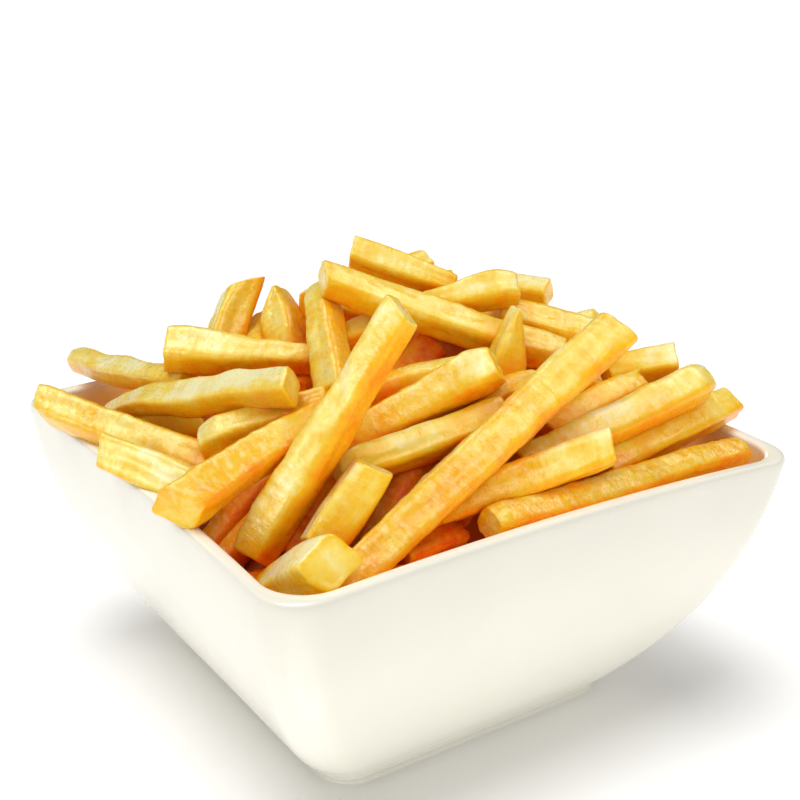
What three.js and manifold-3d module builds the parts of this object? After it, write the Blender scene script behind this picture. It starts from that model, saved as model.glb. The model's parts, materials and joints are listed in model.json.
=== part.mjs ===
// French fries heaped in a flared square bowl.
// Millimetres, +Z up. The origin is the centre of the bowl's foot, on the table, and the bowl's
// four sides face X and Y.
import * as THREE from 'three';
import Module from 'manifold-3d';
import { mergeVertices } from 'three/addons/utils/BufferGeometryUtils.js';

// Bowl, outside
const RIM_SIDE = 155;
const RIM_HEIGHT = 74.6;
const RIM_RISE = 1.8;
const RIM_CORNER_RADIUS = 10.5;
const BODY_FOOT_SIDE = 93;
const BODY_FOOT_CORNER_RADIUS = 10;
const WALL_BULGE = 6.8;
const WALL_BULGE_LEAN = 1.2;
const FOOT_HEIGHT = 3.2;
const FOOT_INSET = 0.9;
const FOOT_EDGE = 0.6;
const FOOT_RING_WIDTH = 7;
const FOOT_RECESS = 1.8;

// Bowl, inside
const WALL_THICKNESS = 3.8;
const FLOOR_TOP = 8;
const FLOOR_SIDE = 90;
const FLOOR_CORNER_RADIUS = 8;
const FLOOR_FILLET = 6;

// Facets of the bowl, and the fewer ones of the heap
const BOWL_FACETS = { side: 6, corner: 6 };
const HEAP_FACETS = { side: 2, corner: 3 };
const WALL_STEPS = 9;
const LIP_STEPS = 4;
const FILLET_STEPS = 3;

// Heap of fries
const HEAP_GAP = 0.5;
const HEAP_SIDE = 153;
const HEAP_CEILING = 160;
const MOUND_EDGE_HEIGHT = 61;
const MOUND_EDGE_SIDE = 138;
const MOUND_TOP_HEIGHT = 109;
const MOUND_TOP_SIDE = 30;
const MOUND_STEPS = 4;
const MOUND_ROUNDNESS = 0.95;
const FRY_WIDTH = 9.6;
const FRY_WIDTH_SPREAD = 1.4;
const FRY_LENGTH = 82;
const FRY_LENGTH_SPREAD = 24;
const FRY_BEND = 2.4;
const FRY_STEPS = 2;
const FRY_END_TAPER = 0.86;
const FRY_RINGS = [
  { count: 12, reach: 60, height: 67, slope: 6 },
  { count: 20, reach: 52, height: 77, slope: 14 },
  { count: 16, reach: 38, height: 90, slope: 20 },
  { count: 11, reach: 24, height: 103, slope: 16 },
  { count: 5, reach: 9, height: 113, slope: 8 },
];

// The two corners that stay free of fries, by the signs of their X and Y
const FREE_CORNERS = [[1, -1], [-1, 1]];
const FREE_CORNER_REACH = 47;

// Finishes
const GLAZE = new THREE.MeshStandardMaterial({
  color: 0xf6f3ea, roughness: 0.18, metalness: 0,
});
const FRIED_POTATO = new THREE.MeshStandardMaterial({
  color: 0xe9b948, roughness: 0.55, metalness: 0,
});

const wasm = await Module();
wasm.setup();

// A level square outline with round corners, whose sides rise by `rise` at their middles. Outlines
// with the same facets have the same number of points, so they can be joined by a skin.
function squareRing(facets, half, cornerRadius, height, rise = 0) {
  const straight = half - cornerRadius;
  const quarter = [];
  for (let step = 0; step < facets.side; step += 1) {
    const along = 2 * step / facets.side - 1;
    const lift = rise * (1 - along * along);
    quarter.push(new THREE.Vector3(half, along * straight, height + lift));
  }
  for (let step = 0; step < facets.corner; step += 1) {
    const angle = step / facets.corner * Math.PI / 2;
    const x = straight + cornerRadius * Math.cos(angle);
    const y = straight + cornerRadius * Math.sin(angle);
    quarter.push(new THREE.Vector3(x, y, height));
  }
  const ring = [];
  for (let side = 0; side < 4; side += 1) {
    const turn = new THREE.Matrix4().makeRotationZ(side * Math.PI / 2);
    ring.push(...quarter.map((point) => point.clone().applyMatrix4(turn)));
  }
  return ring;
}

// A closed skin over a stack of rings. The first and the last ring are closed by flat fans.
function skin(rings) {
  const count = rings[0].length;
  const points = rings.flat();
  const firstCentre = points.length;
  const lastCentre = firstCentre + 1;
  points.push(new THREE.Vector3(0, 0, rings[0][0].z));
  points.push(new THREE.Vector3(0, 0, rings.at(-1)[0].z));
  const faces = [];
  const lastStart = (rings.length - 1) * count;
  for (let i = 0; i < count; i += 1) {
    const next = (i + 1) % count;
    faces.push(firstCentre, next, i);
    faces.push(lastCentre, lastStart + i, lastStart + next);
    for (let level = 0; level < rings.length - 1; level += 1) {
      const low = level * count;
      const high = low + count;
      faces.push(low + i, low + next, high + next);
      faces.push(low + i, high + next, high + i);
    }
  }
  const geometry = new THREE.BufferGeometry().setFromPoints(points);
  geometry.setIndex(faces);
  return geometry;
}

// Half the side of a wall that leans outwards from `low` to `high` and bulges on the way.
function wallHalf(low, high, share) {
  const bulge = WALL_BULGE + WALL_BULGE_LEAN * (1 - 2 * share);
  return THREE.MathUtils.lerp(low, high, share) + 4 * share * (1 - share) * bulge;
}

const LIP_RADIUS = WALL_THICKNESS / 2;
const LIP_HEIGHT = RIM_HEIGHT - LIP_RADIUS;

function innerWallRing(facets, share, gap) {
  const half = wallHalf(FLOOR_SIDE / 2, RIM_SIDE / 2 - WALL_THICKNESS, share) - gap;
  const radius = THREE.MathUtils.lerp(FLOOR_CORNER_RADIUS, RIM_CORNER_RADIUS, share);
  const height = THREE.MathUtils.lerp(FLOOR_TOP, LIP_HEIGHT, share);
  return squareRing(facets, half, radius, height, RIM_RISE * share);
}

function makeBowl() {
  const bodyFoot = BODY_FOOT_SIDE / 2;
  const foot = bodyFoot - FOOT_INSET;
  const footInside = foot - FOOT_RING_WIDTH;
  const radius = BODY_FOOT_CORNER_RADIUS;
  const rings = [
    squareRing(BOWL_FACETS, footInside - FOOT_RECESS, radius - FOOT_RECESS, FOOT_RECESS),
    squareRing(BOWL_FACETS, footInside, radius, 0),
    squareRing(BOWL_FACETS, foot - FOOT_EDGE, radius, 0),
    squareRing(BOWL_FACETS, foot, radius, FOOT_EDGE),
    squareRing(BOWL_FACETS, foot, radius, FOOT_HEIGHT - FOOT_INSET),
  ];
  for (let step = 0; step <= WALL_STEPS; step += 1) {
    const share = step / WALL_STEPS;
    const half = wallHalf(bodyFoot, RIM_SIDE / 2, share);
    const corner = THREE.MathUtils.lerp(radius, RIM_CORNER_RADIUS, share);
    const height = THREE.MathUtils.lerp(FOOT_HEIGHT, LIP_HEIGHT, share);
    rings.push(squareRing(BOWL_FACETS, half, corner, height, RIM_RISE * share));
  }
  for (let step = 1; step < LIP_STEPS; step += 1) {
    const angle = step / LIP_STEPS * Math.PI;
    const half = RIM_SIDE / 2 - LIP_RADIUS + LIP_RADIUS * Math.cos(angle);
    const height = LIP_HEIGHT + LIP_RADIUS * Math.sin(angle);
    rings.push(squareRing(BOWL_FACETS, half, RIM_CORNER_RADIUS, height, RIM_RISE));
  }
  for (let step = WALL_STEPS; step > 0; step -= 1) {
    rings.push(innerWallRing(BOWL_FACETS, step / WALL_STEPS, 0));
  }
  const fillet = new THREE.QuadraticBezierCurve(
    new THREE.Vector2(rings.at(-1)[BOWL_FACETS.side].x, rings.at(-1)[BOWL_FACETS.side].z),
    new THREE.Vector2(FLOOR_SIDE / 2, FLOOR_TOP),
    new THREE.Vector2(FLOOR_SIDE / 2 - FLOOR_FILLET, FLOOR_TOP),
  );
  for (let step = 1; step <= FILLET_STEPS; step += 1) {
    const point = fillet.getPoint(step / FILLET_STEPS);
    rings.push(squareRing(BOWL_FACETS, point.x, FLOOR_CORNER_RADIUS, point.y));
  }
  return skin(rings);
}

// A number from -1 to 1 that looks uneven but is the same every time.
function uneven(index, kind) {
  const wave = Math.sin(index * 12.9898 + kind * 78.233) * 43758.5453;
  return 2 * (wave - Math.floor(wave)) - 1;
}

function toSolid(geometry) {
  const bare = geometry.clone();
  bare.deleteAttribute('normal');
  bare.deleteAttribute('uv');
  const merged = mergeVertices(bare, 1e-4);
  return new wasm.Manifold(new wasm.Mesh({
    numProp: 3,
    vertProperties: new Float32Array(merged.attributes.position.array),
    triVerts: new Uint32Array(merged.index.array),
  }));
}

function toGeometry(solid) {
  const mesh = solid.getMesh();
  const geometry = new THREE.BufferGeometry();
  geometry.setAttribute('position', new THREE.BufferAttribute(mesh.vertProperties, 3));
  geometry.setIndex(new THREE.BufferAttribute(mesh.triVerts, 1));
  geometry.computeVertexNormals();
  return geometry;
}

// One fry: a square stick, thinner at its ends and a little bent, lying between two points.
function makeFry(start, end, width, bend) {
  const half = width / 2;
  const section = new THREE.Shape();
  section.moveTo(half, -half);
  section.lineTo(half, half);
  section.lineTo(-half, half);
  section.lineTo(-half, -half);
  section.closePath();
  const direction = end.clone().sub(start);
  const length = direction.length();
  const stick = new THREE.ExtrudeGeometry(section, {
    depth: length, steps: FRY_STEPS, bevelEnabled: false,
  });
  const points = stick.attributes.position;
  for (let i = 0; i < points.count; i += 1) {
    const along = 2 * points.getZ(i) / length - 1;
    const taper = THREE.MathUtils.lerp(1, FRY_END_TAPER, along * along);
    points.setX(i, points.getX(i) * taper + bend * (1 - along * along));
    points.setY(i, points.getY(i) * taper);
  }
  const side = new THREE.Vector3(-direction.y, direction.x, 0).normalize();
  direction.normalize();
  const up = new THREE.Vector3().crossVectors(direction, side);
  stick.applyMatrix4(new THREE.Matrix4().makeBasis(side, up, direction).setPosition(start));
  return toSolid(stick);
}

// A fry's end, drawn back towards its middle until it is out of the free corners.
function outOfFreeCorners(end, middle) {
  const drawn = end.clone();
  while (FREE_CORNERS.some(([x, y]) => Math.min(drawn.x * x, drawn.y * y) > FREE_CORNER_REACH)) {
    drawn.lerp(middle, 0.1);
  }
  return drawn;
}

// Fries lie about the mound in rings, each pointing its own way and leaning down the slope.
function layRings() {
  const fries = [];
  const goldenAngle = Math.PI * (3 - Math.sqrt(5));
  let index = 0;
  for (const ring of FRY_RINGS) {
    for (let i = 0; i < ring.count; i += 1) {
      index += 1;
      const place = 2 * Math.PI * i / ring.count + 0.4 * uneven(index, 1);
      const reach = ring.reach * (1 + 0.12 * uneven(index, 2));
      const heading = index * goldenAngle;
      const tilt = THREE.MathUtils.degToRad(ring.slope) * -Math.cos(heading - place);
      const halfLength = (FRY_LENGTH + FRY_LENGTH_SPREAD * uneven(index, 3)) / 2;
      const middle = new THREE.Vector3(
        reach * Math.cos(place), reach * Math.sin(place), ring.height + 3 * uneven(index, 4));
      const half = new THREE.Vector3(
        Math.cos(heading) * Math.cos(tilt), Math.sin(heading) * Math.cos(tilt), Math.sin(tilt),
      ).multiplyScalar(halfLength);
      const start = outOfFreeCorners(middle.clone().sub(half), middle);
      const end = outOfFreeCorners(middle.clone().add(half), middle);
      const width = FRY_WIDTH + FRY_WIDTH_SPREAD * uneven(index, 5);
      fries.push(makeFry(start, end, width, FRY_BEND * uneven(index, 6)));
    }
  }
  return fries;
}

// The lowest outline of the heap, just above the bowl's floor.
function heapFloorRing() {
  const half = FLOOR_SIDE / 2 - FLOOR_FILLET;
  return squareRing(HEAP_FACETS, half, FLOOR_CORNER_RADIUS, FLOOR_TOP + HEAP_GAP);
}

// The mound fills the bowl up to its edge and rises as a dome above it.
function makeMound() {
  const rings = [heapFloorRing()];
  const edgeShare = (MOUND_EDGE_HEIGHT - FLOOR_TOP) / (LIP_HEIGHT - FLOOR_TOP);
  for (let step = 1; step <= MOUND_STEPS; step += 1) {
    rings.push(innerWallRing(HEAP_FACETS, edgeShare * step / MOUND_STEPS, HEAP_GAP));
  }
  for (let step = 1; step <= MOUND_STEPS; step += 1) {
    const share = step / MOUND_STEPS;
    const half = THREE.MathUtils.lerp(MOUND_EDGE_SIDE, MOUND_TOP_SIDE, share) / 2;
    const rise = Math.sin(share * Math.PI / 2);
    const height = THREE.MathUtils.lerp(MOUND_EDGE_HEIGHT, MOUND_TOP_HEIGHT, rise);
    rings.push(squareRing(HEAP_FACETS, half, half * MOUND_ROUNDNESS, height));
  }
  return skin(rings);
}

// All that the fries may fill: the bowl's inside, and the air above its rim.
function makeRoom() {
  const rings = [heapFloorRing()];
  for (let step = 1; step <= WALL_STEPS; step += 1) {
    rings.push(innerWallRing(HEAP_FACETS, step / WALL_STEPS, HEAP_GAP));
  }
  const top = RIM_HEIGHT + RIM_RISE + HEAP_GAP;
  const inside = RIM_SIDE / 2 - WALL_THICKNESS - HEAP_GAP;
  rings.push(squareRing(HEAP_FACETS, inside, RIM_CORNER_RADIUS, top));
  rings.push(squareRing(HEAP_FACETS, HEAP_SIDE / 2, RIM_CORNER_RADIUS, top));
  rings.push(squareRing(HEAP_FACETS, HEAP_SIDE / 2, RIM_CORNER_RADIUS, HEAP_CEILING));
  return skin(rings);
}

function makeHeap() {
  let heap = toSolid(makeMound());
  for (const fry of layRings()) {
    heap = heap.add(fry);
  }
  const kept = heap.intersect(toSolid(makeRoom()));
  const bodies = kept.decompose();
  bodies.sort((a, b) => b.volume() - a.volume());
  return toGeometry(bodies[0]);
}

function named(name, geometry, material) {
  const mesh = new THREE.Mesh(geometry, material);
  mesh.name = name;
  return mesh;
}

const portion = new THREE.Group();
portion.add(named('bowl', makeBowl(), GLAZE));
portion.add(named('fries_heap', makeHeap(), FRIED_POTATO));

export default portion;
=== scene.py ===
import json
import math
from typing import NamedTuple

import bpy
import numpy as np
from mathutils import Matrix, Vector


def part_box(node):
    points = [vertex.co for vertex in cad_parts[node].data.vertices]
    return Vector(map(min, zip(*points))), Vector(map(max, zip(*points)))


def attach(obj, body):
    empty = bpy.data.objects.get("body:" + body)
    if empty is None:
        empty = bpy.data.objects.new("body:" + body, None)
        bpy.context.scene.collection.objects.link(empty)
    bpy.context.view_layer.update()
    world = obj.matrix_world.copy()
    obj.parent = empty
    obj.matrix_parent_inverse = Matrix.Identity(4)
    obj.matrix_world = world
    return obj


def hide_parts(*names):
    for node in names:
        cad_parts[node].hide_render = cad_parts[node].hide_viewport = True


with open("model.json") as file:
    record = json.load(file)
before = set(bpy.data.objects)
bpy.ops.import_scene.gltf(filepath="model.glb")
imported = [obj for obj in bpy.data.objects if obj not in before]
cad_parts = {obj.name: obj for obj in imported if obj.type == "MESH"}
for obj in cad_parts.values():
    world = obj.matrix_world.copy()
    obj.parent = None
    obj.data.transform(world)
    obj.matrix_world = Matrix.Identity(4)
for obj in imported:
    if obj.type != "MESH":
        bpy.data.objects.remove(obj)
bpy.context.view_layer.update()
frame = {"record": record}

# French fries heaped in a flared square bowl. Metres, +Z up. The origin is the centre of the bowl's
# foot, and the bowl's sides face X and Y.

BOWL_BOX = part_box("bowl")
BODY = "root"
FREE_BOXES = np.array([hole["box_m"] for hole in frame["record"]["physics"]["openings"]])

bl_info = {
    "name": "Bowl of French Fries",
    "version": (1, 0, 0),
    "blender": (4, 5, 0),
    "location": "3D View > Sidebar > Fries",
    "description": "A heap of fries in a flared square bowl, with its floor, lights and camera",
    "category": "Add Mesh",
}

# Picture points are given in a square picture of this many pixels, from its top left.
PICTURE_SIZE = 800
MM = 0.001


# ---------------------------------------------------------------------------------------------
# Settings
# ---------------------------------------------------------------------------------------------

class BowlSettings(bpy.types.PropertyGroup):
    """Sizes and glaze of the bowl."""

    rim_side: bpy.props.FloatProperty(
        name="Rim side", description="Outside of the rim, from side to side",
        default=BOWL_BOX[1].x - BOWL_BOX[0].x, unit="LENGTH")
    rim_height: bpy.props.FloatProperty(
        name="Rim height", description="Height of the rim at its corners",
        default=0.0746, unit="LENGTH")
    rim_rise: bpy.props.FloatProperty(
        name="Rim rise", description="How much higher the rim is at the middle of a side",
        default=0.0018, unit="LENGTH")
    rim_corner: bpy.props.FloatProperty(
        name="Rim corner", description="Radius of the rim's corners seen from above",
        default=0.0105, unit="LENGTH")
    foot_side: bpy.props.FloatProperty(
        name="Foot side", description="Side of the body just above the foot",
        default=0.093, unit="LENGTH")
    foot_height: bpy.props.FloatProperty(
        name="Foot height", description="Height of the foot", default=0.0032, unit="LENGTH")
    foot_inset: bpy.props.FloatProperty(
        name="Foot inset", description="How far the foot stands back from the body",
        default=0.0009, unit="LENGTH")
    wall: bpy.props.FloatProperty(
        name="Wall", description="Thickness of the wall at the rim", default=0.0038, unit="LENGTH")
    glaze: bpy.props.FloatVectorProperty(
        name="Glaze", description="Colour of the glaze", default=(0.87, 0.85, 0.75),
        min=0.0, max=1.0, subtype="COLOR")
    # Painted reflection of the fries on the glaze under the lip.
    fry_reflection: bpy.props.FloatVectorProperty(
        name="Fry reflection", description="Colour of the glaze where the fries lie against it",
        default=(0.91, 0.63, 0.20), min=0.0, max=1.0, subtype="COLOR")


class FriesSettings(bpy.types.PropertyGroup):
    """Colours of the fries, from painted shade to painted light, and the start of their random draws."""

    # The run from deep to cream mixes the fries' own browning with painted light and shade: cream also
    # paints glints, pale the lit faces, golden the faces turned from the light, amber painted shade where
    # fries lie close, and deep painted shade deep in the heap.
    cream: bpy.props.FloatVectorProperty(
        name="Cream", description="Colour of the flecks on the upper faces", default=(0.97, 0.89, 0.52),
        min=0.0, max=1.0, subtype="COLOR")
    pale: bpy.props.FloatVectorProperty(
        name="Pale", description="Colour of the palest faces", default=(0.92, 0.71, 0.13),
        min=0.0, max=1.0, subtype="COLOR")
    straw: bpy.props.FloatVectorProperty(
        name="Straw", description="Colour of lightly fried faces", default=(0.89, 0.54, 0.012),
        min=0.0, max=1.0, subtype="COLOR")
    golden: bpy.props.FloatVectorProperty(
        name="Golden", description="Colour of golden faces and edges", default=(0.92, 0.40, 0.005),
        min=0.0, max=1.0, subtype="COLOR")
    amber: bpy.props.FloatVectorProperty(
        name="Amber", description="Colour where fries lie close", default=(0.94, 0.24, 0.003),
        min=0.0, max=1.0, subtype="COLOR")
    deep: bpy.props.FloatVectorProperty(
        name="Deep", description="Colour deep in the heap", default=(0.84, 0.105, 0.005),
        min=0.0, max=1.0, subtype="COLOR")
    seed: bpy.props.IntProperty(name="Seed", description="Start of the random draws", default=7)


class StageSettings(bpy.types.PropertyGroup):
    """The viewpoint: the camera's place, turn, tilt and focal length."""

    place: bpy.props.FloatVectorProperty(
        name="Viewpoint", description="Where the camera is", default=(-0.1760, -0.2608, 0.1903),
        subtype="TRANSLATION", unit="LENGTH")
    azimuth: bpy.props.FloatProperty(
        name="Azimuth", description="Turn of the camera about the bowl, from its front side",
        default=math.radians(-34.53), subtype="ANGLE")
    elevation: bpy.props.FloatProperty(
        name="Elevation", description="How far the camera looks down",
        default=math.radians(19.11), subtype="ANGLE")
    roll: bpy.props.FloatProperty(
        name="Roll", description="Tilt of the picture", default=math.radians(0.70), subtype="ANGLE")
    focal_pixels: bpy.props.FloatProperty(
        name="Focal length", description="Focal length in pixels of the picture", default=1216.0)


# ---------------------------------------------------------------------------------------------
# Surfaces
# ---------------------------------------------------------------------------------------------

def lerp(low, high, share):
    """A value that goes straight from low to high as share goes from 0 to 1."""
    return low + (high - low) * share


def smooth(value):
    """A share from 0 to 1 that leaves both ends without a slope: 3 s^2 - 2 s^3."""
    value = np.clip(value, 0.0, 1.0)
    return value * value * (3.0 - 2.0 * value)


def square_rings(half, corner, height, rise, side_steps, corner_steps):
    """Level square outlines with round corners, one for each entry of the four arrays, as rings x
    points x 3. A side is straight and rises by rise times 1 - s^2 along it; a corner is an arc."""
    along = np.linspace(-1.0, 1.0, side_steps, endpoint=False)
    angle = np.linspace(0.0, np.pi / 2, corner_steps, endpoint=False)
    straight = (half - corner)[:, None]
    x = np.concatenate([np.broadcast_to(half[:, None], (len(half), side_steps)),
                        straight + corner[:, None] * np.cos(angle)], axis=1)
    y = np.concatenate([straight * along, straight + corner[:, None] * np.sin(angle)], axis=1)
    lift = np.concatenate([rise[:, None] * (1.0 - along ** 2),
                           np.zeros((len(half), corner_steps))], axis=1)
    z = height[:, None] + lift
    turned = [(x, y), (-y, x), (-x, -y), (y, -x)]
    return np.stack([np.concatenate([p[0] for p in turned], axis=1),
                     np.concatenate([p[1] for p in turned], axis=1),
                     np.concatenate([z] * 4, axis=1)], axis=2)


def skin_faces(rings, points):
    """Quads between neighbouring rings, and triangle fans from the two end rings to the two centre
    points that follow the rings' own points. Rings run anticlockwise about the way they are stacked."""
    here = np.arange(points)
    after = (here + 1) % points
    ring = np.arange(rings - 1)[:, None] * points
    quads = np.stack([ring + here, ring + after, ring + points + after, ring + points + here], axis=2)
    first = np.full(points, rings * points)
    last_ring = (rings - 1) * points
    fans = np.concatenate([np.stack([first, after, here], axis=1),
                           np.stack([first + 1, last_ring + here, last_ring + after], axis=1)])
    return quads.reshape(-1, 4), fans


def closed_skin(rings):
    """Points, quads and fans of a closed surface through rings x points x 3: the rings' points, then a
    point in the middle of the first ring and one in the middle of the last."""
    middles = np.zeros((2, 3))
    middles[:, 2] = rings[[0, -1], 0, 2]
    return np.concatenate([rings.reshape(-1, 3), middles]), *skin_faces(*rings.shape[:2])


def make_piece(name, points, quads, fans, material, slot, values=None, uv=None):
    """A mesh piece from whole arrays. values are named numbers, one a point; uv is one pair a point."""
    mesh = bpy.data.meshes.new(name)
    corners = np.concatenate([quads.ravel(), fans.ravel()]).astype(np.int32)
    sizes = np.concatenate([np.full(len(quads), 4), np.full(len(fans), 3)]).astype(np.int32)
    starts = np.concatenate([[0], np.cumsum(sizes)[:-1]]).astype(np.int32)
    mesh.vertices.add(len(points))
    mesh.vertices.foreach_set("co", points.astype(np.float32).ravel())
    mesh.loops.add(len(corners))
    mesh.loops.foreach_set("vertex_index", corners)
    mesh.polygons.add(len(sizes))
    mesh.polygons.foreach_set("loop_start", starts)
    mesh.polygons.foreach_set("loop_total", sizes)
    mesh.update(calc_edges=True)
    mesh.polygons.foreach_set("use_smooth", np.ones(len(sizes), dtype=bool))
    if uv is not None:
        layer = mesh.uv_layers.new(name="length_and_girth")
        layer.data.foreach_set("uv", uv[corners].astype(np.float32).ravel())
    for key, numbers in (values or {}).items():
        attribute = mesh.attributes.new(key, "FLOAT", "POINT")
        attribute.data.foreach_set("value", numbers.astype(np.float32).ravel())
    if mesh.validate():
        raise RuntimeError(f"{name} has faces that Blender had to mend")
    mesh.materials.append(material)
    piece = bpy.data.objects.new(name, mesh)
    bpy.context.scene.collection.objects.link(piece)
    for group in ("pieces", "dish", "dish_and_floor") if slot == "glaze" else ("pieces", "food"):
        bpy.data.collections[group].objects.link(piece)
    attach(piece, BODY)
    return piece


# ---------------------------------------------------------------------------------------------
# Bowl
# ---------------------------------------------------------------------------------------------

# The wall's bulge, and how much more of it lies in the wall's lower part.
WALL_BULGE = 0.0068
WALL_BULGE_LEAN = 0.0012
LIP_SQUARENESS = 0.62

# The foot: a ring round a shallow recess, with its edges rounded, and a cove between it and the body.
FOOT_CORNER = 0.010
FOOT_RING = 0.007
FOOT_RECESS = 0.0018
FOOT_EDGE = 0.0006
RING_SLOPE = 0.0003
RING_EDGE = 0.0004
FOOT_ROUND = 0.0010
COVE = 0.0011

# The floor inside.
FLOOR_TOP = 0.008
FLOOR_SIDE = 0.090
FLOOR_CORNER = 0.008
FLOOR_FILLET = 0.006

# The largest corner of a small square outline, as a share of its half side.
CORNER_SHARE = 0.9

# How far under the lip the painted reflection of the fries begins to show, and over which height it grows.
REFLECTION_FROM = 0.0005
OIL_REACH = 0.0035
BOWL_SIDE_STEPS = 24
BOWL_CORNER_STEPS = 14


def wall_half(low, high, share):
    """Half the side of a wall that leans from low to high and bulges on the way by a parabola, a
    little more in its lower part."""
    bulge = WALL_BULGE + WALL_BULGE_LEAN * (1.0 - 2.0 * share)
    return lerp(low, high, share) + 4.0 * share * (1.0 - share) * bulge


def inner_wall(bowl, share):
    """The inside of the wall at a share of its height: half side, corner, height and rise."""
    lip = bowl.wall / 2
    return (wall_half(FLOOR_SIDE / 2, bowl.rim_side / 2 - bowl.wall, share),
            lerp(FLOOR_CORNER, bowl.rim_corner, share),
            lerp(FLOOR_TOP, bowl.rim_height - lip, share),
            bowl.rim_rise * share)


def inner_half(bowl, height):
    """Half the free width inside the bowl at a height, and above its rim."""
    share = np.clip((height - FLOOR_TOP) / (bowl.rim_height - FLOOR_TOP), 0.0, 1.0)
    return wall_half(FLOOR_SIDE / 2, bowl.rim_side / 2 - bowl.wall, share)


def quarter(start, corner, end, steps):
    """A round transition from start to end with its tangents towards corner: a quadratic curve."""
    s = np.linspace(0.0, 1.0, steps)[:, None]
    start, corner, end = (np.array(p, float) for p in (start, corner, end))
    return (1 - s) ** 2 * start + 2 * s * (1 - s) * corner + s ** 2 * end


def bowl_profile(bowl):
    """The bowl's stations from the middle of its underside, out over the foot, up the wall, over the
    lip and down inside to the middle of its floor: arrays of half side, corner, height and rise. The
    lip is the superellipse |x|^p + |y|^p = 1 with p = 2 / LIP_SQUARENESS."""
    body = bowl.foot_side / 2
    foot = body - bowl.foot_inset
    ring_inside = foot - FOOT_RING
    parts = []

    def add(half, corner, height, rise=0.0):
        parts.append(np.stack(np.broadcast_arrays(
            np.atleast_1d(half), corner, height, rise), axis=1).astype(float))

    under = np.linspace(0.10, 0.98, 6) * (ring_inside - FOOT_RECESS)
    add(under, np.minimum(FOOT_CORNER - FOOT_RECESS, under * CORNER_SHARE), FOOT_RECESS)
    curve = quarter((ring_inside - FOOT_RECESS, FOOT_RECESS), (ring_inside - FOOT_EDGE, FOOT_RECESS),
                    (ring_inside, RING_SLOPE), 5)
    add(curve[:, 0], FOOT_CORNER - 0.001, curve[:, 1])
    add(np.array([ring_inside + RING_EDGE, foot - FOOT_ROUND - RING_EDGE]), FOOT_CORNER, 0.0)
    curve = quarter((foot - FOOT_ROUND, 0.0), (foot, 0.0), (foot, FOOT_ROUND), 5)
    add(curve[:, 0], FOOT_CORNER, curve[:, 1])
    curve = quarter((foot, bowl.foot_height * 0.45), (foot, bowl.foot_height * 0.9),
                    (body + COVE, bowl.foot_height + COVE), 7)
    add(curve[:, 0], FOOT_CORNER, curve[:, 1])
    share = np.linspace(0.03, 1.0, 40)
    lip = bowl.wall / 2
    add(wall_half(body, bowl.rim_side / 2, share), lerp(FOOT_CORNER, bowl.rim_corner, share),
        lerp(bowl.foot_height, bowl.rim_height - lip, share), bowl.rim_rise * share)
    angle = np.linspace(0.0, np.pi, 23)[1:-1]
    lip_out = np.sign(np.cos(angle)) * np.abs(np.cos(angle)) ** LIP_SQUARENESS
    lip_up = np.sin(angle) ** LIP_SQUARENESS
    add(bowl.rim_side / 2 - lip + lip * lip_out, bowl.rim_corner, bowl.rim_height - lip + lip * lip_up,
        bowl.rim_rise)
    share = np.linspace(1.0, 0.10, 34)
    add(*inner_wall(bowl, share))
    low = inner_wall(bowl, 0.08)
    curve = quarter((low[0], low[2]), (FLOOR_SIDE / 2, FLOOR_TOP),
                    (FLOOR_SIDE / 2 - FLOOR_FILLET, FLOOR_TOP), 7)
    add(curve[:, 0], FLOOR_CORNER, curve[:, 1], 0.0)
    inside = np.linspace(0.95, 0.10, 6) * (FLOOR_SIDE / 2 - FLOOR_FILLET)
    add(inside, np.minimum(FLOOR_CORNER, inside * CORNER_SHARE), FLOOR_TOP)
    return np.concatenate(parts).T


def bowl_surface(bowl):
    """Points, quads and fans of the whole bowl, inside and out, and how far each point lies inside,
    from 0 on the lip to 1 where the painted reflection of the fries reaches full strength further down."""
    half, corner, height, rise = bowl_profile(bowl)
    rings = square_rings(half, corner, height, rise, BOWL_SIDE_STEPS, BOWL_CORNER_STEPS)
    past_lip = np.arange(len(height)) > height.argmax()
    inside = np.where(past_lip, smooth((bowl.rim_height - height - REFLECTION_FROM) / OIL_REACH), 0.0)
    inside = np.concatenate([np.repeat(inside, rings.shape[1]), [0.0, 1.0]])
    return *closed_skin(rings), inside


# ---------------------------------------------------------------------------------------------
# Fries
# ---------------------------------------------------------------------------------------------

class Cut(NamedTuple):
    """How a fry ends. facing turns the cut face to the viewer and skew leans it in the picture, both
    as slopes: skew is how much shorter the left-hand side is, going from start to end. thin and narrow
    are the shares of height and width left at the tip, reach is how long that taper is, in metres, and
    ragged is how far the torn edge goes in and out."""

    facing: float = 0.10
    skew: float = 0.05
    thin: float = 0.96
    narrow: float = 0.96
    reach: float = 0.006
    ragged: float = 0.0002


SQUARE = Cut()
OPEN = Cut(facing=0.75)
LEFT_SHORT = Cut(skew=0.55)
RIGHT_SHORT = Cut(skew=-0.55)
WEDGE = Cut(thin=0.22, narrow=0.8, reach=0.030)
SPIKE = Cut(skew=0.2, thin=0.7, narrow=0.14, reach=0.016)
TORN = Cut(facing=0.3, thin=0.85, narrow=0.9, reach=0.008, ragged=0.0012)
ROUND = Cut(facing=0.15, thin=0.72, narrow=0.76, reach=0.006)


class Fry(NamedTuple):
    """A fry that is placed by the two picture points of its ends. layer orders fries that cross, from
    the one in front. width is its thickness in millimetres at both ends, roll turns its upper face
    towards the viewer in degrees, and crust goes from 0, pale and smooth, to 1, golden and grainy, at
    both ends. bend is how far its middle bows out and lean how much further away its end is, in
    millimetres. One that is on_rim rests with its start on the bowl's rim."""

    name: str
    start: tuple
    end: tuple
    layer: float
    width: tuple
    roll: float
    crust: tuple
    start_cut: Cut = SQUARE
    end_cut: Cut = SQUARE
    bend: float = 0.0
    lean: float = 0.0
    on_rim: bool = False


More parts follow.
